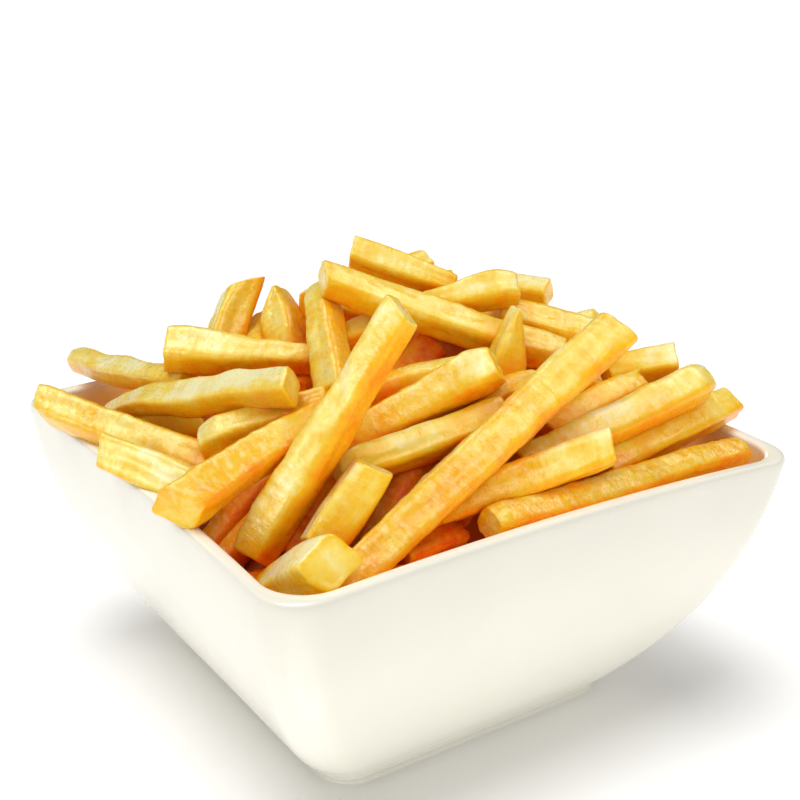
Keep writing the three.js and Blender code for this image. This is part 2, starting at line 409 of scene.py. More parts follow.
TOP_FRIES = (
    Fry("block_front", (331, 562), (246, 576), 0, (10.4, 9.4), 28, (0.0, 0.25), Cut(facing=0.45), WEDGE,
        lean=16),
    Fry("long_right_front", (617, 331), (337, 589), 1, (11.2, 8.6), 45, (0.40, 1.0), Cut(skew=-0.2), SQUARE,
        -0.5),
    Fry("long_left_front", (404, 310), (248, 556), 2, (7.8, 10.4), 42, (0.55, 0.35), Cut(skew=0.3),
        Cut(facing=0.35, thin=0.75, narrow=0.8, reach=0.012), 0.8),
    Fry("pale_short", (376, 467), (320, 550), 3, (8.8, 8.8), 60, (0.0, 0.35), Cut(facing=0.2, skew=-0.2),
        lean=4),
    Fry("rim_right", (740, 451), (490, 526), 3, (7.6, 7.8), 30, (0.8, 0.9), Cut(facing=0.2, skew=-0.2)),
    Fry("flat_end_right", (612, 444), (432, 512), 4, (8.8, 7.8), 52, (0.0, 0.6), Cut(facing=0.3, skew=0.25)),
    Fry("rim_low_left", (177, 507), (332, 412), 5, (10.0, 7.2), 38, (0.6, 0.8),
        Cut(facing=0.7, skew=-0.3), on_rim=True),
    Fry("long_right", (709, 380), (516, 466), 5, (9.8, 7.8), 36, (0.3, 0.6), ROUND),
    Fry("jagged_right", (641, 380), (545, 434), 6, (7.4, 7.4), 30, (0.6, 0.9), TORN),
    Fry("middle_left", (338, 470), (506, 416), 6, (7.4, 8.2), 33, (0.0, 0.35), ROUND),
    Fry("dark_stub", (461, 534), (400, 558), 6, (6.8, 6.8), 20, (0.7, 0.7)),
    Fry("shaded_left", (352, 470), (284, 552), 7, (7.6, 7.6), 40, (0.6, 0.7)),
    Fry("middle_thick", (496, 363), (345, 450), 7, (10.0, 9.6), 45, (0.5, 0.8), ROUND),
    Fry("wedge_left", (98, 405), (292, 387), 8, (6.8, 8.2), 40, (0.35, 0.1), WEDGE,
        Cut(facing=-0.6, skew=0.1), lean=6),
    Fry("spike", (517, 308), (497, 396), 8.4, (8.4, 9.6), 50, (0.35, 0.6), SPIKE, lean=8),
    Fry("torn_in_gap", (536, 378), (466, 408), 7.6, (6.6, 7.0), 35, (0.8, 1.0), TORN),
    Fry("under_right", (729, 401), (600, 468), 8, (8.6, 8.2), 38, (0.25, 0.5), Cut(facing=0.2, skew=-0.25),
        lean=10, on_rim=True),
    Fry("pale_rim_left", (106, 449), (196, 488), 9, (8.6, 9.2), 62, (0.12, 0.3),
        Cut(facing=0.1, skew=-0.3), on_rim=True),
    Fry("knob_left", (200, 441), (330, 399), 9, (8.0, 6.6), 30, (0.2, 0.5), ROUND),
    Fry("top_long", (322, 278), (562, 358), 9, (8.0, 8.0), 32, (0.3, 0.5), Cut(facing=0.2, skew=-0.25)),
    Fry("rim_long_left", (42, 404), (232, 472), 10, (8.8, 8.6), 36, (0.5, 0.85),
        Cut(skew=-0.6, narrow=0.85), on_rim=True),
    Fry("upright_middle", (318, 284), (335, 396), 10, (7.2, 9.2), 45, (0.35, 0.6), ROUND),
    Fry("top_right", (518, 286), (425, 304), 10, (8.8, 6.4), 38, (0.35, 0.5), ROUND),
    Fry("topmost", (352, 251), (455, 288), 11, (7.4, 6.8), 36, (0.3, 0.3), Cut(skew=-0.15)),
    Fry("nook_lower", (343, 340), (398, 316), 11, (6.6, 6.6), 30, (0.6, 0.6)),
    Fry("upper_left", (165, 349), (316, 358), 12, (10.2, 6.8), 36, (0.25, 0.7), Cut(facing=0.4)),
    Fry("behind_spike", (494, 314), (606, 340), 12, (8.4, 8.6), 34, (0.3, 0.3)),
    Fry("nook_upper", (334, 304), (392, 324), 12, (6.4, 6.4), 30, (0.1, 0.2)),
    Fry("stub_top", (596, 315), (572, 330), 13, (6.0, 6.4), 30, (0.5, 0.5), ROUND),
    Fry("pale_back_right", (677, 360), (606, 376), 13, (8.0, 7.6), 36, (0.05, 0.3), Cut(facing=0.2)),
    Fry("peak_left", (277, 286), (292, 356), 13, (9.0, 9.8), 48, (0.6, 0.8),
        Cut(skew=-0.1, thin=0.7, narrow=0.12, reach=0.011)),
    Fry("back_left", (74, 360), (188, 385), 14, (7.2, 7.0), 30, (0.3, 0.5), Cut(facing=0.5), on_rim=True),
    Fry("right_back_end", (549, 293), (505, 290), 14, (7.4, 7.4), 25, (0.2, 0.3)),
    Fry("upright_left", (244, 284), (220, 352), 15, (9.2, 9.4), 45, (0.15, 0.35), Cut(skew=-0.8)),
    Fry("small_back", (428, 264), (400, 273), 15, (6.8, 6.4), 25, (0.3, 0.3)),
    Fry("stub_left", (256, 324), (259, 352), 16, (6.6, 6.6), 25, (0.6, 0.6)),
    Fry("tiny_back", (455, 282), (430, 288), 16, (6.0, 6.0), 25, (0.3, 0.3)),
)

# The heap's upper surface is a dome with a square foot.
DOME_TOP = 0.117
DOME_EDGE = 0.069
DOME_HALF = 0.074
DOME_POWER = 2.0


def dome_height(x, y):
    """Height of the heap's surface: top at the middle, falling to the edge as (1-u^p)(1-v^p)."""
    u = np.clip(np.abs(x) / DOME_HALF, 0.0, 1.0) ** DOME_POWER
    v = np.clip(np.abs(y) / DOME_HALF, 0.0, 1.0) ** DOME_POWER
    return DOME_EDGE + (DOME_TOP - DOME_EDGE) * (1.0 - u) * (1.0 - v)


class Viewpoint:
    """The camera's place and axes, and the sight lines through points of its picture."""

    def __init__(self, stage):
        level = math.cos(stage.elevation)
        self.place = np.array(stage.place)
        self.focal = stage.focal_pixels
        self.back = np.array([math.sin(stage.azimuth) * level, -math.cos(stage.azimuth) * level,
                              math.sin(stage.elevation)])
        right = np.cross(-self.back, [0.0, 0.0, 1.0])
        right /= np.linalg.norm(right)
        up = np.cross(right, -self.back)
        cos, sin = math.cos(stage.roll), math.sin(stage.roll)
        self.right = right * cos + up * sin
        self.up = up * cos - right * sin

    def sight(self, points):
        """Directions through picture points, each one long along the view's axis."""
        across = (np.asarray(points, float) - PICTURE_SIZE / 2) / self.focal
        return across[..., :1] * self.right - across[..., 1:] * self.up - self.back

    def picture(self, places):
        """Picture points of places in space."""
        offset = places - self.place
        across = np.stack([offset @ self.right, -(offset @ self.up)], axis=-1)
        return PICTURE_SIZE / 2 + self.focal * across / self.depth(places)[..., None]

    def depth(self, places):
        """How far away places in space are along the view's axis."""
        return -((places - self.place) @ self.back)

    def matrix(self):
        columns = (self.right, self.up, self.back)
        turn = Matrix([[axis[row] for axis in columns] for row in range(3)]).to_4x4()
        return Matrix.Translation(Vector(self.place)) @ turn


# The depths along a sight line that are tried, and how far out from the middle the dome is met.
SIGHT_DEPTHS = np.linspace(0.18, 0.60, 1200)
DOME_REACH = 0.079


def on_dome(view, points):
    """How far along each sight line the dome's surface is first met or, if it isn't, passed closest."""
    lines = view.sight(points)
    places = view.place + SIGHT_DEPTHS[None, :, None] * lines[:, None, :]
    above = places[..., 2] - dome_height(places[..., 0], places[..., 1])
    inside = np.abs(places[..., :2]).max(axis=2) < DOME_REACH
    miss = np.where(inside, np.abs(above), 1.0)
    crossing = inside & (above < 0.0)
    met = np.where(crossing.any(axis=1), crossing.argmax(axis=1), miss.argmin(axis=1))
    return SIGHT_DEPTHS[met]


TINY = 1e-12


def nearest(a0, a1, b0, b1):
    """For pairs of segments, how far along each of them, from 0 to 1, they come closest."""
    u, v, w = a1 - a0, b1 - b0, a0 - b0
    a, b, c = (u * u).sum(-1), (u * v).sum(-1), (v * v).sum(-1)
    d, e = (u * w).sum(-1), (v * w).sum(-1)
    t = np.clip((b * e - c * d) / np.maximum(a * c - b * b, TINY), 0.0, 1.0)
    s = np.clip((b * t + e) / np.maximum(c, TINY), 0.0, 1.0)
    t = np.clip((b * s - d) / np.maximum(a, TINY), 0.0, 1.0)
    return t, s


def gaps_between(a0, a1, b0, b1):
    """For pairs of segments, the distance between their closest points."""
    t, s = nearest(a0, a1, b0, b1)
    return np.linalg.norm(lerp(a0, a1, t[:, None]) - lerp(b0, b1, s[:, None]), axis=1)


# Settling: its steps, the share of an overlap that one step takes away, and the pull back to the dome.
# Fries push each other if they pass closer in the picture than SETTLE_TOUCH of their radii together,
# and overlap by less than SETTLE_DEEPEST.
SETTLE_STEPS = 400
SETTLE_SHARE = 0.3
SETTLE_PULL = 0.01
SETTLE_TOUCH = 0.999
SETTLE_DEEPEST = 0.04


def settle(view, lines, depths, least, most, radius, layer):
    """Slides the ends of fries along their sight lines until those that cross only touch. The one
    with the lower layer goes in front. A weak pull keeps each fry near the dome, and each end stays
    between its least and its most depth."""
    first, second = np.triu_indices(len(depths), 1)
    need = radius[first] + radius[second]
    order = np.where(layer[first] <= layer[second], 1.0, -1.0)
    start = depths.copy()
    for _ in range(SETTLE_STEPS):
        a0, a1 = (view.place + depths[:, end, None] * lines[:, end] for end in (0, 1))
        t, s = nearest(a0[first], a1[first], a0[second], a1[second])
        here = lerp(a0[first], a1[first], t[:, None])
        gap = lerp(a0[second], a1[second], s[:, None]) - here
        sight = here - view.place
        sight /= np.linalg.norm(sight, axis=1)[:, None]
        along = (gap * sight).sum(1) * order
        aside = np.sqrt(np.maximum((gap ** 2).sum(1) - along ** 2, 0.0))
        overlap = np.sqrt(np.maximum(need ** 2 - aside ** 2, 0.0)) - along
        active = (aside < need * SETTLE_TOUCH) & (overlap > 0.0) & (overlap < SETTLE_DEEPEST)
        push = np.where(active, overlap, 0.0) * SETTLE_SHARE * order
        move = np.zeros_like(depths)
        count = np.zeros_like(depths)
        for index, share, sign in ((first, t, -1.0), (second, s, 1.0)):
            for end, weight in ((0, 1.0 - share), (1, share)):
                np.add.at(move, (index, end), sign * push * weight)
                np.add.at(count, (index, end), active * weight)
        depths = depths + move / np.maximum(count, 1.0) + SETTLE_PULL * (start - depths)
        depths = np.clip(depths, least, most)
    return depths


def depths_in_bowl(view, bowl, lines, radius):
    """How far along each sight line a fry end first and last fits inside the bowl's walls."""
    places = view.place + SIGHT_DEPTHS[:, None] * lines[:, None, :]
    free = inner_half(bowl, places[..., 2]) - radius[:, None]
    inside = np.abs(places[..., :2]).max(axis=2) < free
    fits = inside.any(axis=1)
    first = SIGHT_DEPTHS[inside.argmax(axis=1)]
    last = SIGHT_DEPTHS[::-1][inside[:, ::-1].argmax(axis=1)]
    return np.where(fits, first, SIGHT_DEPTHS[0]), np.where(fits, last, SIGHT_DEPTHS[-1])


class Wave(NamedTuple):
    """Unevenness of a fry: how strong it is, how far apart its knots lie along the fry in metres, and
    how many of them there are round it."""

    strength: float
    spacing: float
    knots: int = 1


CRUST_WAVE = Wave(0.35, 0.018, 5)
HOLLOW_WAVE = Wave(0.00036, 0.011, 8)
DENT_WAVE = Wave(0.00018, 0.0045, 14)
THICKNESS_WAVE = Wave(0.00030, 0.016)
TORN_WAVE = Wave(1.0, 0.004, 16)
SIDE_WAVE = Wave(0.0006, 0.022)
UP_WAVE = Wave(0.0004, 0.022)
GRAIN_SPACING = 0.0016
GRAIN_RANGE = (0.00003, 0.00018)
DISH_RANGE = (-0.0002, 0.0003)


def uneven(rng, along, wave, points):
    """Smooth random numbers up to the wave's strength over fries x stations x points: a lattice with
    the wave's knots along and round each fry, blended by 3 s^2 - 2 s^3."""
    place = along[..., 0] / wave.spacing
    row = np.floor(place).astype(int)
    grid = rng.uniform(-1.0, 1.0, (len(along), row.max() + 2, wave.knots))
    fry = np.arange(len(along))[:, None]
    rows = lerp(grid[fry, row], grid[fry, row + 1], smooth(place - row)[..., None])
    around = np.arange(points) * (wave.knots / points)
    knot = around.astype(int)
    return wave.strength * lerp(rows[..., knot], rows[..., (knot + 1) % wave.knots], smooth(around - knot))


# A fry's ends: how round the rim of a cut is, the sizes of the rings that close it, how much closer the
# stations stand towards the ends, how far along the slant of a cut reaches, and how its taper starts.
END_ROUND = 0.0006
CAP_SHARES = (0.94, 0.76, 0.50, 0.25)
RIM_STEPS = 4
END_STATIONS = len(CAP_SHARES) + RIM_STEPS
END_CROWDING = 0.35
SLANT_REACH = 0.009
TAPER_POWER = 1.5

# The power of the section's superellipse, from pale to crusted fries, and how much it varies.
SECTION_POWER = (6.8, 4.2)
POWER_SPREAD = 0.4

# Painted light: the faces turned this way get painted light and are the palest, and those turned away from
# it get painted shade and are the most golden.
PAINTED_LIGHT_SIDE = np.array([-0.45, 0.38, 0.81])
PAINTED_LIGHT_RANGE = (0.37, 0.92)

# The way round a fry that its pattern is laid out on, and where its long edges and cut ends begin.
GIRTH = 0.034
EDGE_FROM = 0.58
EDGE_REACH = 0.36
CUT_END_FROM = 0.80


def fry_stations(body_stations):
    """The stations along a fry, each as 1 x stations x 1: their share of the length, the size of their
    ring, how far they lie from the tip and how far they pull in. On the round rim of a cut the last
    two follow a quarter circle of END_ROUND."""
    rim = np.linspace(0.0, np.pi / 2, RIM_STEPS)
    flat = np.ones(body_stations)
    tip_cap = np.concatenate([CAP_SHARES[::-1], np.ones(RIM_STEPS)])
    tip_along = np.concatenate([np.zeros(len(CAP_SHARES)), END_ROUND * (1 - np.cos(rim))])
    tip_pull = np.concatenate([np.full(len(CAP_SHARES), END_ROUND), END_ROUND * (1 - np.sin(rim))])
    body = np.linspace(0.0, 1.0, body_stations + 2)[1:-1]
    body = lerp(body, smooth(body), END_CROWDING)
    stations = [np.concatenate([np.zeros(END_STATIONS), body, np.ones(END_STATIONS)])]
    for tip, middle in ((tip_cap, flat), (tip_along, END_ROUND * flat), (tip_pull, 0.0 * flat)):
        stations.append(np.concatenate([tip, middle, tip[::-1]]))
    return [values[None, :, None] for values in stations]


def fry_axes(starts, ends, rolls, view_place):
    """The directions of each fry: along it, across it, out of its upper face, to the viewer and to the
    viewer's left. The upper face looks up and is then rolled about the fry towards the viewer."""
    direction = (ends - starts) / np.linalg.norm(ends - starts, axis=1)[:, None]
    to_viewer = view_place - 0.5 * (starts + ends)
    to_viewer -= direction * (to_viewer * direction).sum(1)[:, None]
    to_viewer /= np.linalg.norm(to_viewer, axis=1)[:, None]
    upright = np.array([0.0, 0.0, 1.0]) - direction * direction[:, 2:]
    upright /= np.linalg.norm(upright, axis=1)[:, None]
    side = np.cross(upright, direction)
    turn = rolls * np.sign((to_viewer * side).sum(1))
    up_axis = upright * np.cos(turn)[:, None] + side * np.sin(turn)[:, None]
    return direction, np.cross(up_axis, direction), up_axis, to_viewer, np.cross(to_viewer, direction)


def fry_surfaces(rng, shape, view_place, body_stations, points):
    """Closed surfaces of many fries at once, as fries x stations x points x 3, with the numbers that
    their finish needs. Each is a rounded square, the superellipse |x|^p + |y|^p = 1, carried from
    start to end on a slightly bent line. Its size goes smoothly from one end's to the other's, with
    uneven faces and edges; each end is cut on a slant, tapers to its tip, has a rounded rim and is
    closed by a cap."""
    starts, ends, widths, heights, rolls, cuts, bends, crusts = shape
    count = len(starts)
    share, cap, edge, pull = fry_stations(body_stations)
    direction, side_axis, up_axis, to_viewer, left_hand = fry_axes(starts, ends, rolls, view_place)
    long = np.linalg.norm(ends - starts, axis=1)[:, None, None]
    between = long - 2 * edge
    along = np.where(share < 0.5, edge + share * between, long - edge - (1 - share) * between)

    angle = (np.arange(points) + 0.5) / points * 2 * np.pi
    cos, sin = np.cos(angle), np.sin(angle)
    power = lerp(*SECTION_POWER, crusts.mean(axis=1))[:, None, None]
    power = power + rng.uniform(-POWER_SPREAD, POWER_SPREAD, (count, 1, 1))
    square = (np.abs(cos) ** power + np.abs(sin) ** power) ** (-1 / power)
    face = np.abs(np.cos(2 * angle))
    crust = lerp(crusts[:, :1, None], crusts[:, 1:, None], along / long)
    crust = np.clip(crust + uneven(rng, along, CRUST_WAVE, points), 0.0, 1.0)
    dish = rng.uniform(*DISH_RANGE, (count, 1, 1))
    relief = (uneven(rng, along, HOLLOW_WAVE, points) + uneven(rng, along, DENT_WAVE, points)
              + lerp(*GRAIN_RANGE, crust) * uneven(rng, along, Wave(1.0, GRAIN_SPACING, points // 2), points)
              - dish * face ** 3)

    size = smooth(along / long)
    half_w, half_h = (0.5 * lerp(both[:, :1, None], both[:, 1:, None], size)
                      + uneven(rng, along, THICKNESS_WAVE, 1) for both in (widths, heights))
    x = half_w * square * cos
    y = half_h * square * sin
    radius = np.hypot(x, y)
    grow = (radius - pull + relief) / radius * cap
    x, y = x * grow, y * grow

    def across(axis):
        return (x * (side_axis * axis).sum(1)[:, None, None]
                + y * (up_axis * axis).sum(1)[:, None, None])

    slide = np.zeros_like(x)
    torn = uneven(rng, along, TORN_WAVE, points)
    for which, distance, sign in ((0, along, 1.0), (1, long - along, -1.0)):
        facing, skew, thin, narrow, reach, ragged = (
            np.array([getattr(cut[which], key) for cut in cuts])[:, None, None] for key in Cut._fields)
        taper = 1.0 - (1.0 - np.clip(distance / reach, 0.0, 1.0)) ** TAPER_POWER
        y = (y + half_h) * lerp(thin, 1.0, taper) - half_h
        x = x * lerp(narrow, 1.0, taper)
        near = np.exp(-(distance / SLANT_REACH) ** 2)
        slant = facing * across(to_viewer) + skew * across(left_hand)
        slide = slide + sign * near * (slant + ragged * torn * cap)
    z = along + slide

    middle = 4 * size * (1 - size)
    x = x + bends[:, :1, None] * middle + uneven(rng, along, SIDE_WAVE, 1)
    y = y + bends[:, 1:, None] * middle + uneven(rng, along, UP_WAVE, 1)
    places = (starts[:, None, None] + z[..., None] * direction[:, None, None]
              + x[..., None] * side_axis[:, None, None] + y[..., None] * up_axis[:, None, None])

    # How far each face turns towards the lit side: painted light and shade for the finish.
    outward_x, outward_y = (np.sign(part) * np.abs(part) ** 3 for part in (cos, sin))
    rise = (outward_x * (side_axis @ PAINTED_LIGHT_SIDE)[:, None, None]
            + outward_y * (up_axis @ PAINTED_LIGHT_SIDE)[:, None, None]) / np.hypot(outward_x, outward_y)
    way_out = np.where(share < 0.5, -1.0, 1.0)
    cap_rise = np.maximum(way_out * (direction @ PAINTED_LIGHT_SIDE)[:, None, None], 0.0)
    rise = lerp(cap_rise, rise, smooth(edge / END_ROUND))
    numbers = {
        "sky": lerp(*PAINTED_LIGHT_RANGE, 0.5 + 0.5 * rise),
        "crust": crust,
        "along": along,
        "girth": angle / (2 * np.pi) * GIRTH,
        "cut_end": 1.0 - smooth((cap - CUT_END_FROM) / (1.0 - CUT_END_FROM)),
        "edge": smooth((1.0 - face - EDGE_FROM) / EDGE_REACH) * cap,
    }
    return places, numbers


# How near another fry paints shade, and up to how many times that it is looked for.
CONTACT_REACH = 0.0030
CONTACT_FAR = 4

# How far under the dome a point starts to count as buried and to get painted shade, and over which depth
# that grows.
BURIED_FROM = 0.002
BURIED_REACH = 0.013

# How far the patterns of two fries lie apart at most, and how much of that goes round the fry.
PATTERN_SHIFT = 9.0
PATTERN_SHIFT_ROUND = 0.37


def crowding(places, starts, ends, radii, own, all_starts, all_ends, all_radii):
    """How closely each point is hemmed in by other fries, from 0 to 1: 1 - exp(-sum of exp(-d / r))
    over the other fries, with d the gap to each and r the contact reach. The finish paints shade
    between fries from it. own says where these fries are in the whole list."""
    result = np.empty(places.shape[:3])
    for index in range(len(places)):
        gap = gaps_between(starts[index], ends[index], all_starts, all_ends)
        close = gap < radii[index] + all_radii + CONTACT_FAR * CONTACT_REACH
        close[own[index]] = False
        point = places[index].reshape(-1, 1, 3)
        a, run = all_starts[close], (all_ends - all_starts)[close]
        share = np.clip(((point - a) * run).sum(-1) / (run ** 2).sum(-1), 0.0, 1.0)
        distance = np.linalg.norm(point - a - share[..., None] * run, axis=-1) - all_radii[close]
        crowd = np.exp(-np.maximum(distance, 0.0) / CONTACT_REACH).sum(axis=1)
        result[index] = (1.0 - np.exp(-crowd)).reshape(places.shape[1:3])
    return result


def join_fries(name, rng, layout, everything, view_place, body_stations, points, material):
    """Makes one piece of many fries, with the numbers that their finish reads. everything holds the
    starts, ends and radii of all fries in the heap."""
    places, numbers = fry_surfaces(rng, layout["shape"], view_place, body_stations, points)
    count, stations = places.shape[:2]
    first = places[:, 0].mean(axis=1)
    last = places[:, -1].mean(axis=1)
    verts = np.concatenate([places.reshape(count, -1, 3), first[:, None], last[:, None]], axis=1)
    quads, fans = skin_faces(stations, points)
    step = (stations * points + 2) * np.arange(count)[:, None, None]
    quads = (quads[None] + step).reshape(-1, 4)
    fans = (fans[None] + step).reshape(-1, 3)

    def spread(values):
        full = np.broadcast_to(values, places.shape[:3]).reshape(count, -1)
        return np.concatenate([full, full[:, :1], full[:, -1:]], axis=1)

    crowd = crowding(places, *layout["shape"][:2], layout["radius"], layout["place"], *everything)
    depth = dome_height(places[..., 0], places[..., 1]) - places[..., 2]
    shift = rng.uniform(0.0, PATTERN_SHIFT, (count, 1, 1))
    uv = np.stack([spread(numbers["along"] + shift),
                   spread(numbers["girth"] + PATTERN_SHIFT_ROUND * shift)], axis=2)
    values = {key: spread(numbers[key]) for key in ("cut_end", "edge", "crust", "sky")}
    # Painted shade where fries lie close against each other.
    values["crowd"] = spread(crowd)
    # Painted shade that grows deeper under the dome.
    values["buried"] = spread(smooth((depth - BURIED_FROM) / BURIED_REACH))
    piece = make_piece(name, verts.reshape(-1, 3), quads, fans, material, "fried_potato",
                       values=values, uv=uv.reshape(-1, 2))
    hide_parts("fries_heap")


# ---------------------------------------------------------------------------------------------
# Finishes
# ---------------------------------------------------------------------------------------------

class Graph:
    """A short way to add and join a material's nodes."""

    def __init__(self, name):
        self.material = bpy.data.materials.new(name)
        self.material.use_nodes = True
        self.tree = self.material.node_tree
        self.tree.nodes.clear()

    def add(self, kind, inputs=None, **settings):
        """A node with its settings. An input is linked if it is given a socket, or else set."""
        node = self.tree.nodes.new(kind)
        for key, value in settings.items():
            setattr(node, key, value)
        for key, value in (inputs or {}).items():
            if isinstance(value, bpy.types.NodeSocket):
                self.tree.links.new(value, node.inputs[key])
            else:
                node.inputs[key].default_value = value
        return node

    def fold(self, operation, values):
        """One number from several, by the same operation on each and the result so far."""
        result = values[0]
        for value in values[1:]:
            result = self.add("ShaderNodeMath", {0: result, 1: value}, operation=operation).outputs[0]
        return result

    def product(self, *values):
        return self.fold("MULTIPLY", values)

    def total(self, *values):
        return self.fold("ADD", values)

    def spread(self, value, low, high, to_low=0.0, to_high=1.0):
        """The value's run from low to high laid over the run from to_low to to_high."""
        return self.add("ShaderNodeMapRange", {
            "Value": value, "From Min": low, "From Max": high, "To Min": to_low, "To Max": to_high,
        }).outputs["Result"]

    def mix(self, share, a, b):
        """The colour between a and b."""
        return self.add("ShaderNodeMix", {0: share, 6: a, 7: b}, data_type="RGBA").outputs[2]

    def ramp(self, share, stops):
        """The colour at a share of a run of colours."""
        node = self.add("ShaderNodeValToRGB", {"Fac": share})
        elements = node.color_ramp.elements
        for _ in stops[2:]:
            elements.new(0.5)
        for element, (position, colour) in zip(elements, stops):
            element.position = position
            element.color = rgba(colour)
        return node.outputs["Color"]

    def stretch(self, vector, along, across):
        """Places scaled along and across a fry."""
        return self.add("ShaderNodeMapping", {"Vector": vector, "Scale": (along, across, 1.0)}).outputs[0]

    def noise(self, vector, scale, detail=3.0, roughness=0.5):
        return self.add("ShaderNodeTexNoise", {
            "Vector": vector, "Scale": scale, "Detail": detail, "Roughness": roughness,
        }).outputs["Fac"]

    def bump(self, height, strength, distance):
        return self.add("ShaderNodeBump", {
            "Strength": strength, "Distance": distance, "Height": height,
        }).outputs["Normal"]

    def value(self, name):
        """A named number of the mesh."""
        return self.add("ShaderNodeAttribute", attribute_name=name).outputs["Fac"]

    def finish(self, shader):
        self.add("ShaderNodeOutputMaterial", {"Surface": shader.outputs[0]})
        return self.material


def rgba(colour, factor=1.0):
    """A colour, brighter or darker by a factor, with full opacity."""
    return (colour[0] * factor, colour[1] * factor, colour[2] * factor, 1.0)


def glaze_material(bowl):
    """Thick glossy glaze: faint waves, a little pooling and tiny changes of gloss. Inside, under the
    lip, it is tinted with a painted yellow reflection of the fries."""
    graph = Graph("glaze")
    place = graph.add("ShaderNodeTexCoord").outputs["Object"]
    waves = graph.noise(place, 38.0, 2.0)
    fine = graph.noise(place, 900.0, 2.0)
    tint = graph.mix(graph.spread(waves, 0.3, 0.7), rgba(bowl.glaze), rgba(bowl.glaze, 0.975))
    # Painted reflection of the fries on the glaze inside, under the lip.
    tint = graph.mix(graph.product(graph.value("inside"), 0.85), tint, rgba(bowl.fry_reflection))
    shader = graph.add("ShaderNodeBsdfPrincipled", {
        "Base Color": tint,
        "Roughness": graph.spread(graph.noise(place, 120.0, 2.0), 0.3, 0.7, 0.08, 0.13),
        "Normal": graph.bump(graph.total(waves, graph.product(fine, 0.02)), 0.25, 0.0004),
        "IOR": 1.5,
        "Subsurface Weight": 0.12,
        "Subsurface Radius": (1.0, 0.9, 0.75),
        "Subsurface Scale": 0.002,
        "Coat Weight": 0.25,
        "Coat Roughness": 0.04,
    })
    return graph.finish(shader)


def potato_material(fries):
    """Fried potato. One run of colours goes from deep over amber, golden, straw and pale to cream. A
    fry's place on it is how open its surface lies, which is painted light and shade: higher on faces
    turned to the light, lower where fries lie close or deep in the heap. Less its crust and its long
    edges, with patches, streaks along the fry, wrinkles across it and grains added. Short cream flecks
    lie across the lit upper faces as painted glints. The flesh lets some light through, and where fries
    lie open the folds of their skin shine with a thin coat of oil."""
    graph = Graph("fried_potato")
    coords = graph.add("ShaderNodeTexCoord").outputs
    place, strip = coords["Object"], coords["UV"]
    sky, crowd, buried, crust, edge, cut_end = (
        graph.value(name) for name in ("sky", "crowd", "buried", "crust", "edge", "cut_end"))
    skin = graph.fold("SUBTRACT", (1.0, cut_end))
    streaks = graph.noise(graph.stretch(strip, 120.0, 460.0), 1.0, 4.0, 0.6)
    wrinkles = graph.noise(graph.stretch(strip, 520.0, 150.0), 1.0, 3.0, 0.55)
    flecks = graph.noise(graph.stretch(strip, 540.0, 260.0), 1.0, 4.0, 0.62)
    patches = graph.noise(place, 130.0, 3.0)
    grains = graph.noise(place, 1250.0, 3.0, 0.65)

    # Painted light and shade: lit faces high, faces turned away and fries lying close or buried low, with
    # the crust darkening on top. Pale cut ends also fade where fries lie close.
    openness = graph.product(sky, graph.spread(crowd, 0.3, 1.0, 1.0, 0.57),
                             graph.spread(buried, 0.0, 1.0, 1.0, 0.36),
                             graph.spread(crust, 0.0, 1.0, 1.10, 0.76))
    lines = graph.product(skin, graph.total(graph.spread(streaks, 0.35, 0.65, -0.05, 0.05),
                                            graph.spread(wrinkles, 0.35, 0.65, -0.05, 0.05)))
    shade = graph.total(
        openness, lines, graph.spread(patches, 0.35, 0.65, -0.10, 0.10),
        graph.product(graph.spread(grains, 0.35, 0.65, -0.04, 0.04),
                      graph.spread(crust, 0.0, 0.8, 0.35, 1.0)),
        graph.product(edge, graph.spread(crust, 0.0, 0.7, -0.03, -0.11)),
        graph.product(cut_end, graph.spread(crowd, 0.2, 0.8, 0.10, 0.0)))
    colour = graph.ramp(shade, ((0.04, fries.deep), (0.21, fries.amber), (0.42, fries.golden),
                                (0.63, fries.straw), (0.82, fries.pale), (1.0, fries.cream)))
    # Cream flecks: a grain of the skin, shown only where painted light falls, so they are painted glints;
    # fewer on edges, none where fries lie close.
    painted_glint_share = graph.product(
        graph.spread(flecks, 0.46, 0.66), graph.spread(sky, 0.56, 0.80),
        graph.spread(crust, 0.10, 0.6, 0.12, 0.44), graph.spread(edge, 0.1, 0.6, 1.0, 0.25),
        graph.spread(crowd, 0.25, 0.7, 1.0, 0.0))
    colour = graph.mix(painted_glint_share, colour, rgba(fries.cream))

    folds = graph.product(skin, graph.total(flecks, wrinkles))
    relief = graph.total(graph.product(grains, graph.spread(crust, 0.0, 0.8, 0.25, 1.0)),
                         graph.product(folds, 0.4))
    shader = graph.add("ShaderNodeBsdfPrincipled", {
        "Base Color": colour,
        "Roughness": graph.spread(grains, 0.3, 0.7, 0.22, 0.42),
        "Normal": graph.bump(relief, 0.45, 0.0006),
        "IOR": 1.40,
        "Specular IOR Level": 0.25,
        "Specular Tint": (1.0, 0.85, 0.50, 1.0),
        "Subsurface Weight": 0.45,
        "Subsurface Radius": (1.0, 0.50, 0.14),
        "Subsurface Scale": 0.0026,
        # The oil coat thins where fries lie buried or close, in place of their shade.
        "Coat Weight": graph.product(graph.spread(buried, 0.0, 0.5, 0.50, 0.0),
                                     graph.spread(crowd, 0.3, 1.0, 1.0, 0.2)),
        "Coat Roughness": 0.19,
        "Coat Normal": graph.bump(folds, 0.40, 0.0006),
    })
    return graph.finish(shader)


